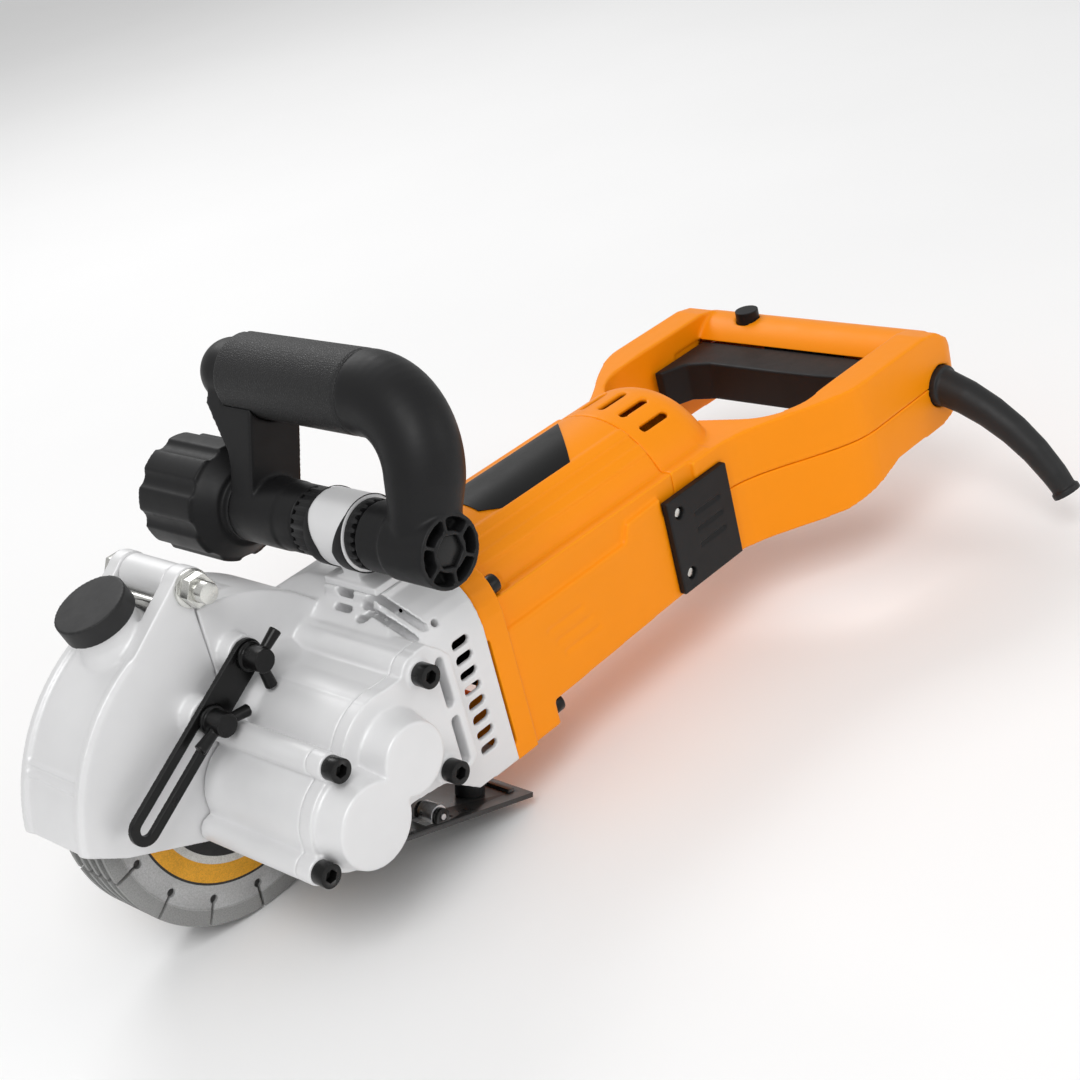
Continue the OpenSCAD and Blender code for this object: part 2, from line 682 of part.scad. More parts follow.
// Five cooling slots over the brush gear
module rear_vents()
    for (i = [-2:2]) translate([0, motor_y, motor_z]) rotate([-i * 17, 0, 0])
        translate([274, 0, 40]) linear_extrude(16) slot2d(21, 2.2, 0);
trigger_hinge = [416, -94];
boot_at = [439, 7];               // axis of the cable boot, X and Z
module trigger_slot() translate([400, -99, 1.5]) cube([34, 149, 25]);
module rear_shell_upper() color("orange") intersection() {
    rear_shells();
    translate([200, -150, split_z + 0.05]) cube([300, 300, 100]);
}
module rear_shell_lower() color("orange") intersection() {
    rear_shells();
    translate([200, -150, split_z - 100]) cube([300, 300, 99.95]);
}
module trigger() color("dimgray") difference() {
    translate([0, 0, 2.4]) linear_extrude(23.2)
        polygon([[405, -98], [404, -86], [400, -74], [398, -55], [397, -30], [397, 20],
            [392, 34], [378, 41], [377, 46], [424, 46], [424, -98]]);
    rod_z(trigger_hinge, 2.05, 0, 30);
}
module trigger_pin() color("silver") rod_z(trigger_hinge, 2, -12.9, 36.9);
module switch_block() color("black") translate([436, -34, 4]) cube([17, 44, 20]);
module lock_button() color("black") {
    rod_z([440, 22], 6.9, 28, 41);
    rod_z([440, 22], 7.9, 26, 28);
}
module cord_clamp() color("dimgray") difference() {
    translate([428, -97.8, 1]) cube([22, 2.5, 13]);
    rod_y(boot_at, 4.5, -99, -92);
}
// Rubber boot: a tapering tube that bends down from the handle's corner
boot_turns = [15, 23, 31, 39, 47, 55, 60];
boot_bend_r = 115;
boot_root_y = -109;
module cable_boot() color("black") translate([boot_at[0], 0, boot_at[1]]) difference() {
    union() {
        translate([0, boot_root_y + 7, 0]) rotate([90, 0, 0]) cylinder(r = 11.6, h = 10);
        translate([0, boot_root_y + 7, 0]) rotate([90, 0, 0]) cylinder(r = 12.6, h = 2.6);
        for (i = [0:len(boot_turns) - 2]) hull() {
            boot_ring(boot_turns[i], 10.4 - i * 0.62);
            boot_ring(boot_turns[i + 1], 10.4 - (i + 1) * 0.62);
        }
        at_boot_end() cylinder(r = 8, h = 3.5);
    }
    at_boot_end() translate([0, 0, -18]) cylinder(r = 4.5, h = 22);
}
module boot_ring(a, r) on_boot(a) cylinder(r = r, h = 0.5, $fn = 32);
module at_boot_end() on_boot(60) children();
module on_boot(a) translate([0, boot_root_y - boot_bend_r * (sin(a) - sin(15)),
    -boot_bend_r * (cos(15) - cos(a))]) rotate([90 + a, 0, 0]) children();

// ---------- guard and base plate, drawn with the sole level ----------
module guard2d() intersection() {
    circle(guard_r);
    guard_reach2d(0);
}
// Front part of the hood's outline, ahead of the seam
module guard_reach2d(extra) polygon([[-96, -14 - extra], [-66, -22 - extra],
    [-20, -sole_depth + 2.6 - extra], [-19 + extra, -sole_depth + 2.6 - extra],
    [-19 + extra, 5], [-15 + extra, 17], [-15 + extra, 50], [-27 + extra, 88], [-34, 100],
    [-96, 100]]);
module guard() color("gainsboro") {
    pivot = [pivot_at[0] * cos(plate_pitch) - pivot_at[1] * sin(plate_pitch),
        pivot_at[0] * sin(plate_pitch) + pivot_at[1] * cos(plate_pitch)];
    boss = [slot_at[0] * cos(plate_pitch) - slot_at[1] * sin(plate_pitch),
        slot_at[0] * sin(plate_pitch) + slot_at[1] * cos(plate_pitch)];
    pitched() difference() {
        union() {
            difference() {
                along_y(wall_y, far_y) guard2d();
                along_y(wall_y + hood_wall, far_y - hood_wall) intersection() {
                    circle(guard_r - 3.6);
                    guard_reach2d(20);
                }
            }
            // Raised edges along both sides of the roof and two ribs across it
            for (y = [wall_y + 1, far_y - 5]) along_y(y, y + 4) intersection() {
                difference() { circle(guard_r + 2); circle(guard_r - 3); }
                guard_reach2d(0);
            }
            for (a = [172, 168.5]) rotate([0, -a, 0])
                translate([guard_r - 2, wall_y + 2, -0.8]) cube([3.2, far_y - wall_y - 4, 1.6]);
            lug(pivot, wall_y, -2.5);
            lug(pivot, 30.8, 39);
            rod_y(boss, 9, lever_y + 3.6, wall_y + 1);
            dust_port(0);
            // Flange that the base plate is screwed to
            translate([-54, far_y - 1, -sole_depth + plate_t]) cube([34, 10, 5]);
        }
        dust_port(1);
        rod_y(pivot, 5 + run_gap, -13, 50);
        rod_y(boss, 5.4, lever_y, wall_y - 0.5);
        rod_y(pivot + tie_offset, 3.02, -9, 38.1);
        foot_holes(1.6, -sole_depth, -sole_depth + 8);
    }
}
tie_offset = [-9.5, -8.1];         // tie rod against the pivot, in the level view
module lug(pivot, y0, y1) along_y(y0, y1) difference() {
    union() {
        translate(pivot) circle(9.5);
        polygon([pivot + [9, 3], pivot + [-6, 7.4], [-60, 66], [-42, 62],
            [-32, 82], pivot + [5.5, -7.7]]);
    }
    circle(guard_r - 4);
}
// The port leans forward, square to the roof; cut = 1 gives its bore
port_angle = 126;
port_y = 12;
module dust_port(cut) rotate([0, -port_angle, 0]) translate([0, port_y, 0])
    rotate([0, 90, 0])
        if (cut == 0) translate([0, 0, guard_r - 5]) {
            cylinder(r = port_r, h = 21);
            cylinder(r1 = port_r + 4.5, r2 = port_r, h = 10);
        }
        else translate([0, 0, guard_r - 12]) cylinder(r = port_r - 2.5, h = 40);
module dust_cap() color("black") pitched() rotate([0, -port_angle, 0])
    translate([guard_r + 12, port_y, 0]) rotate([0, 90, 0]) difference() {
        cylinder(r = port_r + 2.4, h = 10);
        translate([0, 0, -1]) cylinder(r = port_r + run_gap, h = 5.2);
    }
plate_t = 2.5;
plate_end = 129;
plate_near = -70;
plate_far = 45;
disc_slot_end = 101;
foot_at = [[-48, 40.5], [-37, 40.5], [-26, 40.5]];
module foot_holes(r, z0, z1) for (p = foot_at) rod_z(p, r, z0, z1);
module base_plate() color("dimgray") pitched() difference() {
    union() {
        translate([-60, far_y - 3, -sole_depth]) cube([plate_end + 60, plate_far - far_y + 3,
            plate_t]);
        translate([-5, plate_near, -sole_depth]) cube([plate_end + 5,
            wall_y - 2 - plate_near, plate_t]);
        translate([disc_slot_end, plate_near, -sole_depth])
            cube([plate_end - disc_slot_end, plate_far - plate_near, plate_t]);
        // Raised bead that stiffens the tail of the plate
        translate([plate_end - 9, plate_near + 8, -sole_depth + plate_t - eps])
            cube([4, plate_far - plate_near - 20, 1.5]);
        roller_forks();
    }
    for (x = roller_x) translate([x - 9, roller_y[0] - 0.6, -sole_depth - 1])
        cube([18, roller_y[1] - roller_y[0] + 1.2, plate_t + 2]);
    foot_holes(1.7, -sole_depth - 1, -sole_depth + plate_t + 1);
    foot_holes(3.5, -sole_depth - 1, -sole_depth + 1.4);
    roller_bore(1.52);
}
module plate_screws() color("silver") pitched() for (p = foot_at) {
    rod_z(p, 3.4, -sole_depth + 0.1, -sole_depth + 1.4);
    rod_z(p, 1.58, -sole_depth + 1.4, -sole_depth + 7);
}
roller_x = [70, 28];
roller_y = [-66, -56];
roller_r = 5;
roller_z = -sole_depth + roller_r + 0.3;
module roller_forks() for (x = roller_x, y = [roller_y[0] - 2.8, roller_y[1] + 0.8])
    along_y(y, y + 2) translate([x, roller_z]) {
        circle(4);
        translate([-4, -roller_z - sole_depth + 1]) square([8, 6]);
    }
module roller_bore(r) for (x = roller_x)
    rod_y([x, roller_z], r, roller_y[0] - 4, roller_y[1] + 4);
module roller_pins() color("dimgray") pitched() for (x = roller_x)
    rod_y([x, roller_z], 1.5, roller_y[0] - 3.4, roller_y[1] + 3.4);
module roller(x) color("silver") pitched()
    tube_y([x, roller_z], roller_r, 1.5 + run_gap, roller_y[0], roller_y[1]);
module rear_roller() roller(roller_x[0]);
module front_roller() roller(roller_x[1]);
module pivot_bolt() color("dimgray") {
    rod_y(pivot_at, 5, -26, 39.2);
    along_y(39.2, 44) translate(pivot_at) hex2d(14);
}
module pivot_nut() color("silver") difference() {
    union() {
        rod_y(pivot_at, 9, -14, -12.1);
        along_y(-20, -14) translate(pivot_at) hex2d(14);
    }
    rod_y(pivot_at, 5.02, -30, 0);
}
module tie_rod() color("silver") pitched() translate([tie_offset[0], 0, tie_offset[1]])
    rotate([0, -plate_pitch, 0]) rod_y(pivot_at, 3, -8.9, 38);
module depth_stop() color("black") pitched()
    translate([stop_at[0], stop_at[1], -sole_depth + plate_t + 0.3])
        cylinder(r = 7.4, h = 17.3);

// ---------- depth lever and its wing screws ----------
slot_from = 29;
slot_to = 88;
slot_half = 3.3;
module lever2d() translate(lever_at) rotate(lever_dir) difference() {
    union() {
        circle(8);
        translate([0, -8]) square([88, 16]);
        translate([88, 0]) circle(8);
    }
    circle(3 + run_gap);
    translate([slot_from, -slot_half]) square([slot_to - slot_from, 2 * slot_half]);
    for (x = [slot_from, slot_to]) translate([x, 0]) circle(slot_half);
}
module depth_lever() color("black") along_y(lever_y, lever_y + 3) lever2d();
module wing_screw(at, tip_y, wing_angles) {
    rod_y(at, 3, lever_y - 12, tip_y);
    rod_y(at, 7, lever_y - 2, lever_y - 0.3);
    rod_y(at, 5.6, lever_y - 12, lever_y - 2);
    for (a = wing_angles) translate([at[0], lever_y - 7, at[1]]) rotate([0, a, 0])
        rotate([0, 90, 0]) translate([0, 0, 3]) cylinder(r1 = 2.4, r2 = 3, h = 12.3);
}
module lever_screw() color("dimgray") wing_screw(lever_at, wall_y - 1.2, [-30, 82]);
module slot_screw() color("dimgray") wing_screw(slot_at, lever_y + 5, [8, 159]);

// ---------- front bail handle, drawn upright about its own axis ----------
module on_bail() translate([bail_at[0], 0, bail_at[1]]) pitched() children();
bail_near = -100;
leg_y = -83.5;
leg_r = 16.5;
bend_r = 34;
module bail_handle() color("dimgray") on_bail() difference() {
    union() {
        rod_y([0, 0], 17.5, bail_near, -71);
        rod_y([0, 0], 16.5, -71, -54.3);
        rod_y([0, 0], 16.5, -9.7, 4.3);
        rod_y([0, 0], 17, 4.3, 36.5);
        // Leg on the gearbox side, curving over into the grip
        translate([0, leg_y, 0]) cylinder(r = leg_r, h = bail_rise - bend_r + eps);
        translate([0, leg_y + bend_r, bail_rise - bend_r]) rotate([90, 0, -90])
            rotate_extrude(angle = 90) translate([bend_r, 0]) circle(leg_r);
        rod_y([0, bail_rise], leg_r, leg_y + bend_r - eps, 50);
        translate([0, 50, bail_rise]) sphere(leg_r);
        // Broad leg on the far side, leaning outwards to the end of the grip
        along_x(-15, 15) polygon([[20, 0], [36.5, 0], [36.5, 20], [38, 28], [54, 50], [50, bail_rise],
            [20, bail_rise]]);
    }
    rod_y([0, 0], 5 + run_gap, -95, 62);
    // Spoked recess and hexagon socket at the near end
    difference() {
        tube_y([0, 0], 15.5, 9.5, bail_near - 1, bail_near + 8);
        for (a = [0:60:300]) rotate([0, a + 15, 0])
            translate([8, bail_near - 2, -0.9]) cube([9, 12, 1.8]);
    }
    along_y(bail_near - 1, bail_near + 9) hex2d(14.2);
    // Seat for the grip sleeve
    tube_y([0, bail_rise], bail_grip_r + 0.3, 14.5, -46, 41);
}
module grip_sleeve() color("dimgray") on_bail()
    tube_y([0, bail_rise], bail_grip_r, 14.52, -45.9, 40.9);
module handle_bracket() color("gainsboro") difference() {
    union() {
        on_bail() rod_y([0, 0], 18, -47.5, -21.5);
        along_x(72, 92) polygon([[-46.5, 92], [-41, 80], [-40, 70], [-50, 68], [-50, 66],
            [-18, 66], [-18, 67.5], [-30, 72], [-23, 92]]);
        translate([70, -52, 64.7]) cube([25, 36, 4]);
    }
    rod_y(bail_at, 5.2, -49, -20);
}
module clamp_rings() color("dimgray") for (y = [[-54, -47.7], [-21.3, -10]])
    on_bail() tube_y([0, 0], 16.5, 5.2, y[0], y[1]);
module bail_bolt() color("silver") on_bail() {
    rod_y([0, 0], 5, -91.2, 86);
    along_y(-98, -91.2) hex2d(14);
}
module clamp_knob() color("dimgray") on_bail() difference() {
    union() {
        rod_y([0, 0], 17, 36.8, 41);
        translate([0, 41, 0]) rotate([-90, 0, 0]) cylinder(r1 = 20, r2 = 28, h = 9);
        along_y(50, 92) difference() {
            circle(29.5);
            for (i = [0:8]) rotate(i * 40) translate([34.4, 0]) circle(7);
        }
    }
    rod_y([0, 0], 5 + run_gap, 36, 87);
}

// ---------- the tool, standing ----------
module standing() translate(arbor_at) children();
standing() cutting_discs();
standing() disc_spacers();
standing() inner_flange();
standing() outer_flange();
standing() disc_screw();
standing() arbor_shaft();
standing() arbor_gear();
standing() arbor_bearings();
standing() countershaft();
standing() bevel_gear();
standing() spur_pinion();
standing() countershaft_bearings();
standing() armature_shaft();
standing() armature_core();
standing() armature_windings();
standing() commutator();
standing() cooling_fan();
standing() bevel_pinion();
standing() armature_bearings();
standing() air_baffle();
standing() stator_core();
standing() stator_coils();
standing() brush_holders();
standing() carbon_brushes();
standing() gearbox_case();
standing() gearbox_cover();
standing() cover_screws();
standing() motor_housing();
standing() housing_screws();
standing() rear_shell_upper();
standing() rear_shell_lower();
standing() side_covers();
standing() side_cover_screws();
standing() trigger();
standing() trigger_pin();
standing() switch_block();
standing() lock_button();
standing() cord_clamp();
standing() cable_boot();
standing() guard();
standing() base_plate();
standing() plate_screws();
standing() pivot_bolt();
standing() pivot_nut();
standing() tie_rod();
standing() dust_cap();
standing() depth_stop();
standing() front_roller();
standing() rear_roller();
standing() roller_pins();
standing() depth_lever();
standing() lever_screw();
standing() slot_screw();
standing() bail_handle();
standing() grip_sleeve();
standing() handle_bracket();
standing() clamp_rings();
standing() bail_bolt();
standing() clamp_knob();
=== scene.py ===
"""Looks of the wall chaser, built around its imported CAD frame."""
import json
import math

import bmesh
import bpy
from mathutils import Matrix, Vector


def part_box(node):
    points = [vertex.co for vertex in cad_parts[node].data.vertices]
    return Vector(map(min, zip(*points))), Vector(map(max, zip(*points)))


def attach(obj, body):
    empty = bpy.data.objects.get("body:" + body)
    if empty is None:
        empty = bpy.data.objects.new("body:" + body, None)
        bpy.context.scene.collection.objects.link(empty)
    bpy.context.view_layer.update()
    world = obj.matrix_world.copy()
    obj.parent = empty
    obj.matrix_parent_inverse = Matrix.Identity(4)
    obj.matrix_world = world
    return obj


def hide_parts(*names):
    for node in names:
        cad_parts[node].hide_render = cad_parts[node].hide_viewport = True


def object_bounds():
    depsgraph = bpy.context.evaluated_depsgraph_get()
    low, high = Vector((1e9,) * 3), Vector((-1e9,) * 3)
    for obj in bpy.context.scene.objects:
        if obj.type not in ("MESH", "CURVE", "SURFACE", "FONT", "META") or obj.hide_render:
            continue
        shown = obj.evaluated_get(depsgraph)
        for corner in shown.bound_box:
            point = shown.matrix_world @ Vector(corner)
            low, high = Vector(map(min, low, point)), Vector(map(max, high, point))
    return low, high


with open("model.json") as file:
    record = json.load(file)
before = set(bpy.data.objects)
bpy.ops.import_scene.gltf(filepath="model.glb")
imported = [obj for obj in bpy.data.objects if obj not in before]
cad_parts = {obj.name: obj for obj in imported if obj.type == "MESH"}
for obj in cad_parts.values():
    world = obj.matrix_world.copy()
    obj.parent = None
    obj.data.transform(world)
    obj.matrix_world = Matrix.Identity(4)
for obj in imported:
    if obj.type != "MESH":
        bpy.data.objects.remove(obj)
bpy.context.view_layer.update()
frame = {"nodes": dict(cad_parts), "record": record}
NODES = frame["nodes"]
BEHAVIOUR = frame["record"]["behaviour"]
BODY_OF = {node: body for body, nodes in BEHAVIOUR["bodies"].items() for node in nodes}
JOINTS = {joint["name"]: joint for joint in BEHAVIOUR["joints"]}
MOUNTS = {mount["name"]: mount for mount in frame["record"]["mounts"]}
MM = 0.001


# ---------- landmarks taken from the frame ----------
def centre(node):
    low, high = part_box(node)
    return (Vector(low) + Vector(high)) / 2


# A point on the discs' axis, level with the face of the discs that looks along minus y.
ARBOR = centre("inner_flange")
ARBOR.y = Vector(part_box("cutting_discs")[0]).y
DISC_RADIUS = (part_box("cutting_discs")[1][0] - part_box("cutting_discs")[0][0]) / 2
MOTOR_AXIS = Vector(JOINTS["armature_spin"]["pos_m"])
BAIL_AXIS = Vector(JOINTS["handle_tilt"]["pos_m"])
BAIL_MIDDLE = Vector((BAIL_AXIS.x, ARBOR.y, BAIL_AXIS.z))
GRIP_RISE = (centre("grip_sleeve") - BAIL_AXIS).length / MM
SOLE_NORMAL = Vector(MOUNTS["plate_sole"]["axis"])
# How far the tool is tipped about y, read off the sole of the base plate.
PITCH = math.atan2(-SOLE_NORMAL.x, -SOLE_NORMAL.z)


def at(x, y, z):
    """A point given in millimetres from the arbor."""
    return ARBOR + Vector((x, y, z)) * MM


# ---------- camera ----------
SENSOR_WIDTH = 36.0
FOCAL_LENGTH = 66.27
NEAREST_SEEN = 0.05
FURTHEST_SEEN = 50.0
CAMERA_PLACE = at(-401.1, -712.4, 464.2)
CAMERA_BACK = Vector((-0.591, -0.679, 0.437)).normalized()
CAMERA_UP = Vector((0.464, 0.158, 0.872))


def make_camera():
    data = bpy.data.cameras.new("camera")
    data.sensor_width = SENSOR_WIDTH
    data.lens = FOCAL_LENGTH
    data.clip_start = NEAREST_SEEN
    data.clip_end = FURTHEST_SEEN
    cam = bpy.data.objects.new("camera", data)
    bpy.context.scene.collection.objects.link(cam)
    right = CAMERA_UP.cross(CAMERA_BACK).normalized()
    up = CAMERA_BACK.cross(right)
    turn = Matrix((right, up, CAMERA_BACK)).transposed().to_4x4()
    cam.matrix_world = Matrix.Translation(CAMERA_PLACE) @ turn
    bpy.context.scene.camera = cam


make_camera()


# ---------- shader helpers, each of which returns an output socket ----------
def new_material(name):
    mat = bpy.data.materials.new(name)
    mat.use_nodes = True
    tree = mat.node_tree
    return mat, tree, tree.nodes["Principled BSDF"]


def object_coordinates(tree):
    return tree.nodes.new("ShaderNodeTexCoord").outputs["Object"]


def mapped(tree, scale, location=(0.0, 0.0, 0.0)):
    """Object coordinates, scaled and then moved."""
    node = tree.nodes.new("ShaderNodeMapping")
    node.inputs["Location"].default_value = location
    node.inputs["Scale"].default_value = scale
    tree.links.new(object_coordinates(tree), node.inputs["Vector"])
    return node.outputs["Vector"]


def noise(tree, scale, detail=3.0, rough=0.5, vector=None):
    if vector is None:
        vector = object_coordinates(tree)
    tex = tree.nodes.new("ShaderNodeTexNoise")
    tex.inputs["Scale"].default_value = scale
    tex.inputs["Detail"].default_value = detail
    tex.inputs["Roughness"].default_value = rough
    tree.links.new(vector, tex.inputs["Vector"])
    return tex.outputs["Fac"]


def ramp(tree, source, stops, interpolation="LINEAR"):
    """Turns a value into a grey or a colour by a list of (place, grey or colour)."""
    node = tree.nodes.new("ShaderNodeValToRGB")
    node.color_ramp.interpolation = interpolation
    while len(node.color_ramp.elements) < len(stops):
        node.color_ramp.elements.new(0.5)
    for element, (place, value) in zip(node.color_ramp.elements, stops):
        element.position = place
        element.color = (value, value, value, 1.0) if isinstance(value, float) else (*value, 1.0)
    tree.links.new(source, node.inputs["Fac"])
    return node.outputs["Color"]


def multiply(tree, value, factor):
    """The product of a socket and a number or another socket."""
    node = tree.nodes.new("ShaderNodeMath")
    node.operation = "MULTIPLY"
    tree.links.new(value, node.inputs[0])
    if isinstance(factor, float):
        node.inputs[1].default_value = factor
    else:
        tree.links.new(factor, node.inputs[1])
    return node.outputs["Value"]


def mix_colour(tree, factor, first, second, blend="MIX"):
    """Blends two colours, each given as numbers or as a socket; so is the factor."""
    node = tree.nodes.new("ShaderNodeMix")
    node.data_type = "RGBA"
    node.blend_type = blend
    if isinstance(factor, float):
        node.inputs["Factor"].default_value = factor
    else:
        tree.links.new(factor, node.inputs["Factor"])
    for socket, value in ((node.inputs["A"], first), (node.inputs["B"], second)):
        if isinstance(value, tuple):
            socket.default_value = (*value, 1.0)
        else:
            tree.links.new(value, socket)
    return node.outputs["Result"]


def edge_highlight_mask(tree, low, high):
    """Bright where the surface turns sharply outward; used as the mask of a painted highlight
    along rounded edges.
    """
    geometry = tree.nodes.new("ShaderNodeNewGeometry")
    return ramp(tree, geometry.outputs["Pointiness"], [(low, 0.0), (high, 1.0)])


def bump(tree, height, strength, distance):
    node = tree.nodes.new("ShaderNodeBump")
    node.inputs["Strength"].default_value = strength
    node.inputs["Distance"].default_value = distance
    tree.links.new(height, node.inputs["Height"])
    return node.outputs["Normal"]


def connect(tree, shader, colour, roughness, normal):
    tree.links.new(colour, shader.inputs["Base Color"])
    tree.links.new(roughness, shader.inputs["Roughness"])
    tree.links.new(normal, shader.inputs["Normal"])


def scaled(colour, factor):
    return tuple(min(1.0, channel * factor) for channel in colour)


# ---------- materials ----------
BLOTCHES_PER_CLOUD = 6.0


def finish(name, colour, variation, roughness, metallic=0.0, grain=900.0, grain_depth=0.00004,
           grain_strength=0.35, cloud=14.0, edge=None, edge_highlight_at=(0.53, 0.62), gloss=0.5):
    """A moulded, cast or plated surface: cloudy colour and roughness over a fine grain."""
    mat, tree, shader = new_material(name)
    clouds = noise(tree, cloud, detail=4.0, rough=0.6)
    base = ramp(tree, clouds, [(0.3, scaled(colour, 1.0 - variation)),
                               (0.7, scaled(colour, 1.0 + variation))])
    # The edge colour is a painted highlight, mixed in where the surface turns sharply outward.
    if edge is not None:
        base = mix_colour(tree, edge_highlight_mask(tree, *edge_highlight_at), base, edge)
    blotches = noise(tree, cloud * BLOTCHES_PER_CLOUD, detail=5.0, rough=0.7)
    rough = ramp(tree, blotches, [(0.25, roughness - 0.06), (0.75, roughness + 0.07)])
    normal = bump(tree, noise(tree, grain, detail=2.0), grain_strength, grain_depth)
    connect(tree, shader, base, rough, normal)
    shader.inputs["Metallic"].default_value = metallic
    shader.inputs["Specular IOR Level"].default_value = gloss
    return mat


def leather_grain(name, colour, roughness):
    """Soft rubber with a leather-like pebble, as on the grips."""
    pebbles_per_metre = 820.0
    groove_depth = 0.00022
    mat, tree, shader = new_material(name)
    cells = tree.nodes.new("ShaderNodeTexVoronoi")
    cells.feature = "DISTANCE_TO_EDGE"
    cells.inputs["Scale"].default_value = pebbles_per_metre
    tree.links.new(object_coordinates(tree), cells.inputs["Vector"])
    pebble = ramp(tree, cells.outputs["Distance"], [(0.0, 0.0), (0.32, 1.0)])
    clouds = noise(tree, scale=22.0, detail=4.0)
    base = ramp(tree, clouds, [(0.3, scaled(colour, 0.8)), (0.7, colour)])
    rough = ramp(tree, pebble, [(0.0, roughness + 0.18), (1.0, roughness)])
    connect(tree, shader, base, rough, bump(tree, pebble, strength=0.55, distance=groove_depth))
    shader.inputs["Specular IOR Level"].default_value = 0.42
    return mat


def turned_metal(name, colour, roughness, axis="Y", rings=1600.0):
    """Machined steel: fine rings left by the lathe around one axis, and light scuffs."""
    across_rings = 30.0
    ring_depth = 0.00003
    mat, tree, shader = new_material(name)
    squeeze = tuple(rings if letter == axis else across_rings for letter in "XYZ")
    turning = noise(tree, scale=1.0, vector=mapped(tree, squeeze))
    base = ramp(tree, turning, [(0.3, scaled(colour, 0.75)), (0.7, colour)])
    scuffs = noise(tree, scale=160.0, detail=4.0)
    rough = ramp(tree, scuffs, [(0.3, roughness - 0.05), (0.7, roughness + 0.1)])
    connect(tree, shader, base, rough, bump(tree, turning, strength=0.2, distance=ring_depth))
    shader.inputs["Metallic"].default_value = 1.0
    return mat


STEEL_GREY = (0.50, 0.50, 0.50)
GRIT_GREY = (0.36, 0.36, 0.355)
PRINT_BLACK = (0.02, 0.02, 0.02)
PRINT_WHITE = (0.75, 0.74, 0.70)
PRINT_ORANGE = (0.90, 0.42, 0.02)
STAIN_GREY = (0.45, 0.45, 0.44)
CLEAN = (1.0, 1.0, 1.0)
# Where each colour starts, as a share of the disc's radius.
DISC_BANDS = [(0.0, STEEL_GREY), (0.36, PRINT_BLACK), (0.55, PRINT_WHITE), (0.60, PRINT_ORANGE),
              (0.72, PRINT_BLACK), (0.735, STEEL_GREY), (0.895, GRIT_GREY)]
RIM_START = 0.885
RIM_FULL = 0.895


def share_of_radius(tree):
    """The distance from the arbor's axis, where 1 is the rim of a disc."""
    length = tree.nodes.new("ShaderNodeVectorMath")
    length.operation = "LENGTH"
    flat = mapped(tree, (1.0, 0.0, 1.0), (-ARBOR.x, 0.0, -ARBOR.z))
    tree.links.new(flat, length.inputs[0])
    return multiply(tree, length.outputs["Value"], 1.0 / DISC_RADIUS)


def disc_face(name):
    """Steel disc with a printed band and a gritty sintered rim, told apart by radius."""
    grit_depth = 0.0005
    mat, tree, shader = new_material(name)
    radius = share_of_radius(tree)
    bands = ramp(tree, radius, DISC_BANDS, "CONSTANT")
    speckle = noise(tree, scale=1400.0, detail=4.0, rough=0.7)
    dirt = ramp(tree, speckle, [(0.30, STAIN_GREY), (0.62, CLEAN)])
    base = mix_colour(tree, 0.55, bands, dirt, "MULTIPLY")
    grit = multiply(tree, ramp(tree, radius, [(RIM_START, 0.0), (RIM_FULL, 1.0)]), speckle)
    rough = ramp(tree, radius, [(0.80, 0.38), (0.90, 0.75)])
    connect(tree, shader, base, rough, bump(tree, grit, strength=0.8, distance=grit_depth))
    shader.inputs["Metallic"].default_value = 0.25
    return mat


# The edge colours below are painted highlights along sharp outward edges, lighter than the base
# on the plastic, rubber and black steel.
MAT = {
    "cast": finish("cast_aluminium", (0.75, 0.75, 0.755), 0.04, 0.46, metallic=0.22,
                   grain=1500.0, grain_depth=0.00006, grain_strength=0.3,
                   edge=(0.72, 0.72, 0.71), edge_highlight_at=(0.54, 0.66)),
    "yellow": finish("yellow_plastic", (0.95, 0.285, 0.0), 0.02, 0.42, grain=1300.0, gloss=0.2,
                     grain_depth=0.00003, grain_strength=0.25,
                     edge=(1.0, 0.45, 0.01), edge_highlight_at=(0.53, 0.64)),
    "dark": finish("dark_plastic", (0.009, 0.009, 0.0095), 0.12, 0.46, grain=1100.0,
                   grain_depth=0.00005, edge=(0.035, 0.035, 0.036), gloss=0.22),
    "rubber": finish("soft_rubber", (0.010, 0.010, 0.0105), 0.15, 0.52, grain=700.0,
                     grain_depth=0.00006, edge=(0.035, 0.035, 0.036), gloss=0.4),
    "grip": leather_grain("grip_rubber", (0.011, 0.011, 0.0115), 0.44),
    "black_steel": finish("black_steel", (0.012, 0.012, 0.012), 0.2, 0.3, metallic=0.6,
                          grain=800.0, edge=(0.10, 0.10, 0.10), edge_highlight_at=(0.55, 0.68)),
    "steel": turned_metal("machined_steel", (0.58, 0.58, 0.59), 0.28),
    "shaft": turned_metal("turned_shaft", (0.58, 0.58, 0.59), 0.25, axis="X"),
    "zinc": finish("zinc_plate", (0.66, 0.66, 0.63), 0.12, 0.24, metallic=1.0, grain=500.0,
                   cloud=40.0),
    "disc": disc_face("disc_face"),
    "label": finish("label_film", (0.004, 0.004, 0.004), 0.2, 0.38, grain=300.0,
                    grain_depth=0.00001, gloss=0.2),
    "iron": turned_metal("laminated_iron", (0.23, 0.24, 0.26), 0.4, axis="X", rings=2400.0),
    "copper": turned_metal("copper_wire", (0.65, 0.27, 0.10), 0.35, rings=900.0),
    "carbon": finish("carbon", (0.03, 0.03, 0.03), 0.3, 0.6, grain=2000.0),
}
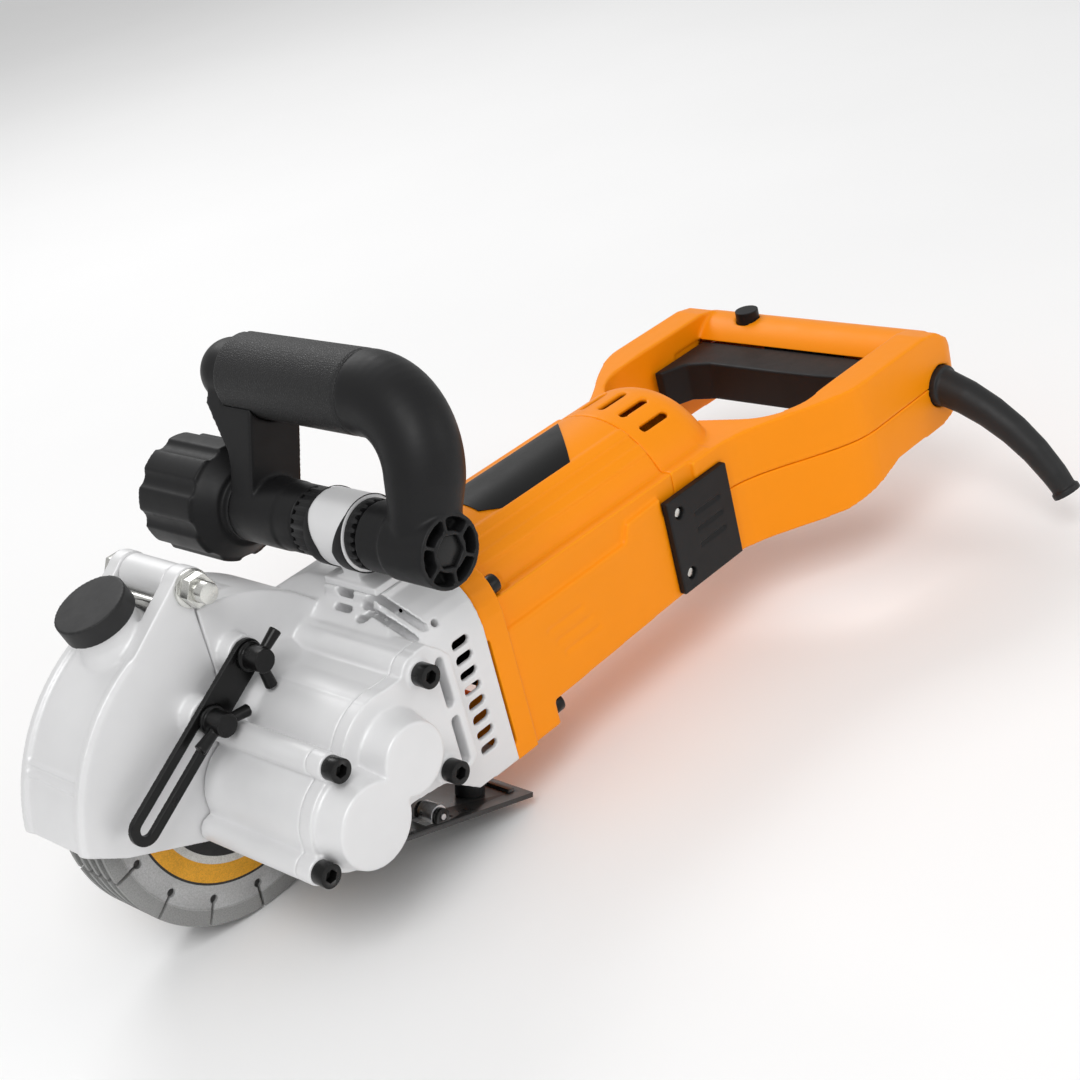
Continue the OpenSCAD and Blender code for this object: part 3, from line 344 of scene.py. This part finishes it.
LOOK = {
    "cast": "gearbox_case gearbox_cover guard handle_bracket",
    "yellow": "motor_housing rear_shell_upper rear_shell_lower",
    "dark": "cooling_fan air_baffle side_covers trigger switch_block lock_button cord_clamp "
            "bail_handle clamp_rings clamp_knob",
    "rubber": "cable_boot dust_cap depth_stop",
    "grip": "grip_sleeve",
    "black_steel": "cover_screws housing_screws base_plate depth_lever lever_screw slot_screw "
                   "bail_bolt",
    "steel": "disc_spacers inner_flange outer_flange disc_screw arbor_shaft arbor_gear "
             "arbor_bearings countershaft bevel_gear spur_pinion countershaft_bearings "
             "trigger_pin rear_roller front_roller roller_pins",
    "shaft": "armature_shaft armature_bearings bevel_pinion",
    "zinc": "pivot_bolt pivot_nut tie_rod plate_screws side_cover_screws",
    "disc": "cutting_discs",
    "iron": "armature_core stator_core",
    "copper": "armature_windings commutator stator_coils brush_holders",
    "carbon": "carbon_brushes",
}
LOOK_OF = {node: key for key, names in LOOK.items() for node in names.split()}


def paint(obj, key):
    obj.data.materials.clear()
    obj.data.materials.append(MAT[key])


for node_name, node_object in NODES.items():
    paint(node_object, LOOK_OF[node_name])


# ---------- helpers for pieces ----------
def add_object(name, mesh):
    obj = bpy.data.objects.new(name, mesh)
    bpy.context.scene.collection.objects.link(obj)
    return obj


def built_object(name, builder):
    """An object made from a finished bmesh, which is used up."""
    mesh = bpy.data.meshes.new(name)
    builder.to_mesh(mesh)
    builder.free()
    return add_object(name, mesh)


def copied_node(node):
    """A copy of a CAD node in the same place, to be worked on."""
    obj = add_object(node + "_finished", NODES[node].data.copy())
    obj.matrix_world = NODES[node].matrix_world.copy()
    return obj


def bake_modifiers(obj):
    """Turns the modifiers' result into the object's own mesh."""
    graph = bpy.context.evaluated_depsgraph_get()
    mesh = bpy.data.meshes.new_from_object(obj.evaluated_get(graph))
    obj.modifiers.clear()
    obj.data = mesh


def round_edges(obj, width, limit=math.radians(30)):
    """Bevels every edge whose faces turn by more than the limit; the width is in millimetres."""
    bevel = obj.modifiers.new("bevel", "BEVEL")
    bevel.width = width * MM
    bevel.segments = 2
    bevel.limit_method = "ANGLE"
    bevel.angle_limit = limit
    bake_modifiers(obj)


def shade_smooth(obj, crease=None):
    """Shades the whole mesh smooth, except at edges that turn by more than the crease."""
    for polygon in obj.data.polygons:
        polygon.use_smooth = True
    if crease is not None:
        obj.data.set_sharp_from_angle(angle=crease)


def take_place(obj, node):
    """Shows a finished piece instead of its CAD node, on the same body and in the same look."""
    paint(obj, LOOK_OF[node])
    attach(obj, BODY_OF[node])
    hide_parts(node)


# ---------- the bail handle's own shapes ----------
def on_bail(point):
    """A mesh point in the bail handle's own upright frame, in millimetres."""
    away = (point - BAIL_MIDDLE) / MM
    along = away.x * math.cos(PITCH) - away.z * math.sin(PITCH)
    rise = away.x * math.sin(PITCH) + away.z * math.cos(PITCH)
    return along, away.y, rise


def off_bail(along, across, rise):
    """The reverse of on_bail."""
    x = along * math.cos(PITCH) + rise * math.sin(PITCH)
    z = -along * math.sin(PITCH) + rise * math.cos(PITCH)
    return BAIL_MIDDLE + Vector((x, across, z)) * MM


SEAM_HALF_WIDTH = 0.9
SEAM_DEPTH = 0.45
SEAM_FROM_END = 1.6
GRIP_SKIN = 19.0


def seam_the_grip(mesh):
    """Presses the mould's seam along the top of the grip and a ring near its bend."""
    low_y = (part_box("grip_sleeve")[0][1] - ARBOR.y) / MM
    for vertex in mesh.vertices:
        along, across, rise = on_bail(vertex.co)
        radial = Vector((along, rise - GRIP_RISE))
        on_top = radial.y > 0 and abs(along) < SEAM_HALF_WIDTH
        near_end = across - low_y < SEAM_FROM_END
        if (on_top or near_end) and radial.length > GRIP_SKIN:
            pressed = radial - radial.normalized() * SEAM_DEPTH
            vertex.co = off_bail(pressed.x, across, GRIP_RISE + pressed.y)


SLEEVE_RADIUS = 20.0
LEG_RADIUS = 16.5
LEG_ACROSS = -83.5
LEG_FOOT_RISE = 17.0
LEG_SWELL = 0.45
BEND_RADIUS = 34.0
BEND_ACROSS = LEG_ACROSS + BEND_RADIUS
BEND_RISE = GRIP_RISE - BEND_RADIUS
BEND_OVERLAP = 4.0


def bend_middle(across, rise):
    """The handle's middle line beside a point, and the share of the swelling there."""
    if rise <= BEND_RISE:
        share = LEG_SWELL * max(0.0, (rise - LEG_FOOT_RISE) / (BEND_RISE - LEG_FOOT_RISE))
        return Vector((0.0, LEG_ACROSS, rise)), share
    turn = math.atan2(max(0.0, BEND_ACROSS - across), rise - BEND_RISE)
    middle = Vector((0.0, BEND_ACROSS - BEND_RADIUS * math.sin(turn),
                     BEND_RISE + BEND_RADIUS * math.cos(turn)))
    if across > BEND_ACROSS:
        middle.y = across
    return middle, 1.0 - (1.0 - LEG_SWELL) * turn / (math.pi / 2)


def swell_the_bend(mesh):
    """Thickens the bend so that the leg grows out of the grip without a step."""
    thinnest, thickest = 0.6 * LEG_RADIUS, 1.25 * LEG_RADIUS
    for vertex in mesh.vertices:
        along, across, rise = on_bail(vertex.co)
        if across > BEND_ACROSS + BEND_OVERLAP or rise < LEG_FOOT_RISE:
            continue
        middle, share = bend_middle(across, rise)
        away = Vector((along, across, rise)) - middle
        if thinnest < away.length < thickest:
            place = middle + away * (1.0 + share * (SLEEVE_RADIUS / LEG_RADIUS - 1.0))
            vertex.co = off_bail(*place)


# ---------- the clamp rings ----------
RING_STEPS = 144
STEPS_PER_TOOTH = 6
RING_OUTER, RING_BORE = 16.5, 5.3
TOOTH_DEPTH = 2.2
NEAR_WIDTH, FAR_WIDTH = 6.3, 11.3
SADDLE_RADIUS = 18.02
LIP_THICKNESS = 0.45
LIP_OVERLAP = 0.25
LIP_REACH_ABOVE, LIP_REACH_BELOW = 0.6, 8.0
LIP_TURNS_AT, LIP_TURNS_OVER = 0.82, 0.9


def ring_profile(builder, edge, radius):
    """One ring of points around the bail's axis; edge gives each step's y."""
    points = []
    for step in range(RING_STEPS):
        turn = 2 * math.pi * step / RING_STEPS
        place = Vector((BAIL_AXIS.x + radius * MM * math.cos(turn), ARBOR.y + edge(step) * MM,
                        BAIL_AXIS.z + radius * MM * math.sin(turn)))
        points.append(builder.verts.new(place))
    return points


def tube(builder, first_edge, second_edge, inner, outer):
    """A closed ring of metal between two radii and two edges."""
    loops = [ring_profile(builder, first_edge, inner), ring_profile(builder, first_edge, outer),
             ring_profile(builder, second_edge, outer), ring_profile(builder, second_edge, inner)]
    for a, b in zip(loops, loops[1:] + loops[:1]):
        for i in range(RING_STEPS):
            j = (i + 1) % RING_STEPS
            builder.faces.new((a[i], a[j], b[j], b[i]))


def level(y):
    return lambda step: y


def toothed(y, depth):
    """An edge that steps by the depth at every half tooth."""
    return lambda step: y + depth * (step % STEPS_PER_TOOTH < STEPS_PER_TOOTH / 2)


def collar(builder, start, direction):
    """The ring's lip, which reaches further over the metal saddle low down than at its top."""
    def lip_edge(step):
        height = math.sin(2 * math.pi * step / RING_STEPS)
        share = min(1.0, max(0.0, (LIP_TURNS_AT - height) / LIP_TURNS_OVER))
        reach = LIP_REACH_ABOVE + (LIP_REACH_BELOW - LIP_REACH_ABOVE) * share
        return start + direction * reach

    tube(builder, level(start + direction * LIP_OVERLAP), lip_edge,
         SADDLE_RADIUS, SADDLE_RADIUS + LIP_THICKNESS)


def toothed_rings():
    """The two clamp rings: each has teeth on the face that meets the handle's own ring."""
    builder = bmesh.new()
    low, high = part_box("clamp_rings")
    near_start = (low[1] - ARBOR.y) / MM
    near_end = near_start + NEAR_WIDTH
    far_end = (high[1] - ARBOR.y) / MM
    far_start = far_end - FAR_WIDTH
    tube(builder, toothed(near_start, TOOTH_DEPTH), level(near_end), RING_BORE, RING_OUTER)
    collar(builder, near_end, 1)
    tube(builder, level(far_start), toothed(far_end, -TOOTH_DEPTH), RING_BORE, RING_OUTER)
    collar(builder, far_start, -1)
    bmesh.ops.recalc_face_normals(builder, faces=builder.faces)
    obj = built_object("clamp_rings_toothed", builder)
    round_edges(obj, 0.35)
    shade_smooth(obj, math.radians(35))
    take_place(obj, "clamp_rings")


# ---------- the label ----------
LABEL_RADIUS = 48.35
LABEL_THICKNESS = 0.25
LABEL_FRONT, LABEL_REAR = 155.0, 213.0
LABEL_SLANT = 32.0
LABEL_LOW_TURN, LABEL_HIGH_TURN = math.radians(-29.0), math.radians(16.0)
LABEL_COLUMNS, LABEL_ROWS = 44, 20
CUT_LENGTH = 14.0
# The share of the label's height that the cut corner takes.
CUT_SHARE = 0.25


def label_point(column, row):
    """A point on the barrel, by its share of the label's length and of its height."""
    turn = LABEL_LOW_TURN + (LABEL_HIGH_TURN - LABEL_LOW_TURN) * row
    front = LABEL_FRONT + CUT_LENGTH * max(0.0, 1.0 - row / CUT_SHARE)
    rear = LABEL_REAR + LABEL_SLANT * row
    place = MOTOR_AXIS + Vector((0, math.sin(turn), math.cos(turn))) * LABEL_RADIUS * MM
    place.x = ARBOR.x + (front + (rear - front) * column) * MM
    return place


def motor_label():
    """A plain black film on the barrel, its front corner cut off."""
    builder = bmesh.new()
    grid = [[builder.verts.new(label_point(column / LABEL_COLUMNS, row / LABEL_ROWS))
             for row in range(LABEL_ROWS + 1)] for column in range(LABEL_COLUMNS + 1)]
    for here, ahead in zip(grid, grid[1:]):
        for row in range(LABEL_ROWS):
            builder.faces.new((here[row], ahead[row], ahead[row + 1], here[row + 1]))
    obj = built_object("motor_label", builder)
    solid = obj.modifiers.new("thickness", "SOLIDIFY")
    solid.thickness = LABEL_THICKNESS * MM
    solid.offset = 1.0
    bake_modifiers(obj)
    shade_smooth(obj, math.radians(40))
    paint(obj, "label")
    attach(obj, BODY_OF["motor_housing"])


# ---------- finished copies of CAD nodes ----------
def softened(node, voxel, passes, shape=None):
    """Rounds a CAD node all over, as a mould or a casting leaves it, and may reshape it."""
    obj = copied_node(node)
    remesh = obj.modifiers.new("remesh", "REMESH")
    remesh.mode = "VOXEL"
    remesh.voxel_size = voxel * MM
    remesh.adaptivity = 0.0
    bake_modifiers(obj)
    if shape is not None:
        shape(obj.data)
    relax = obj.modifiers.new("relax", "SMOOTH")
    relax.factor = 0.5
    relax.iterations = passes
    bake_modifiers(obj)
    shade_smooth(obj)
    take_place(obj, node)


def edged(node, width):
    """Breaks the edges of a small turned or stamped CAD node with a fine bevel."""
    merge_distance = 0.002
    flat_within = math.radians(0.5)
    obj = copied_node(node)
    shell = bmesh.new()
    shell.from_mesh(obj.data)
    bmesh.ops.remove_doubles(shell, verts=shell.verts, dist=merge_distance * MM)
    bmesh.ops.dissolve_limit(shell, angle_limit=flat_within, verts=shell.verts,
                             edges=shell.edges)
    shell.to_mesh(obj.data)
    shell.free()
    round_edges(obj, width, math.radians(40))
    shade_smooth(obj, math.radians(32))
    take_place(obj, node)


# Each node that is rounded all over, with its voxel size in millimetres and its smoothing passes.
SOFTENED = {
    "gearbox_case": (0.8, 6), "gearbox_cover": (0.7, 6), "guard": (0.8, 6),
    "handle_bracket": (0.6, 6), "motor_housing": (0.9, 4), "rear_shell_upper": (0.9, 6),
    "rear_shell_lower": (0.9, 6), "side_covers": (0.6, 3), "trigger": (0.7, 8),
    "bail_handle": (0.8, 8), "grip_sleeve": (0.6, 3), "clamp_knob": (0.7, 8),
    "cable_boot": (0.5, 12), "dust_cap": (0.5, 8), "depth_lever": (0.4, 3),
    "lever_screw": (0.35, 5), "slot_screw": (0.35, 5), "lock_button": (0.3, 4),
}
SHAPED = {"bail_handle": swell_the_bend, "grip_sleeve": seam_the_grip}
# Each node that only has its edges broken, with the width of its bevels in millimetres.
EDGED = {
    "cutting_discs": 0.12, "outer_flange": 0.4, "disc_screw": 0.3, "disc_spacers": 0.2,
    "inner_flange": 0.3, "cover_screws": 0.45, "housing_screws": 0.4, "side_cover_screws": 0.2,
    "pivot_bolt": 0.4, "pivot_nut": 0.4, "tie_rod": 0.3, "base_plate": 0.25,
    "plate_screws": 0.15, "bail_bolt": 0.4, "rear_roller": 0.4, "front_roller": 0.4,
    "roller_pins": 0.2, "depth_stop": 0.4,
}

for rounded_node, (voxel_size, pass_count) in SOFTENED.items():
    softened(rounded_node, voxel_size, pass_count, SHAPED.get(rounded_node))
for small_node, edge_width in EDGED.items():
    edged(small_node, edge_width)
toothed_rings()
motor_label()


# ---------- floor and light ----------
FLOOR_HALF_SIZE = 6.0
FLOOR_GAP = 0.0005
WORLD_STRENGTH = 0.58
LIGHT_AIM = (0.0, 0.0, 0.1)


def make_floor():
    mesh = bpy.data.meshes.new("floor")
    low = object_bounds()[0][2] - FLOOR_GAP
    corners = ((-1, -1), (1, -1), (1, 1), (-1, 1))
    mesh.from_pydata([(x * FLOOR_HALF_SIZE, y * FLOOR_HALF_SIZE, low) for x, y in corners],
                     [], [(0, 1, 2, 3)])
    floor = add_object("floor", mesh)
    mat, tree, shader = new_material("floor")
    clouds = noise(tree, scale=3.0)
    shade = ramp(tree, clouds, [(0.3, (0.92, 0.92, 0.92)), (0.7, (0.94, 0.94, 0.94))])
    tree.links.new(shade, shader.inputs["Base Color"])
    shader.inputs["Roughness"].default_value = 0.9
    mesh.materials.append(mat)


def area_light(name, place, size, power):
    data = bpy.data.lights.new(name, "AREA")
    data.shape = "RECTANGLE"
    data.size, data.size_y = size
    data.energy = power
    obj = bpy.data.objects.new(name, data)
    bpy.context.scene.collection.objects.link(obj)
    obj.location = place
    toward = Vector(LIGHT_AIM) - Vector(place)
    obj.rotation_euler = toward.to_track_quat("-Z", "Y").to_euler()


def make_lights():
    world = bpy.data.worlds.new("studio")
    world.use_nodes = True
    background = world.node_tree.nodes["Background"]
    background.inputs["Color"].default_value = (1.0, 1.0, 1.0, 1.0)
    background.inputs["Strength"].default_value = WORLD_STRENGTH
    bpy.context.scene.world = world
    bpy.context.scene.view_settings.view_transform = "Standard"
    area_light("key", (-1.1, -0.9, 1.7), (1.0, 1.0), 19.0)
    area_light("fill", (0.9, -1.6, 0.9), (1.2, 0.8), 4.0)
    area_light("rim", (0.6, 1.5, 1.5), (1.2, 0.6), 12.0)


make_floor()
make_lights()
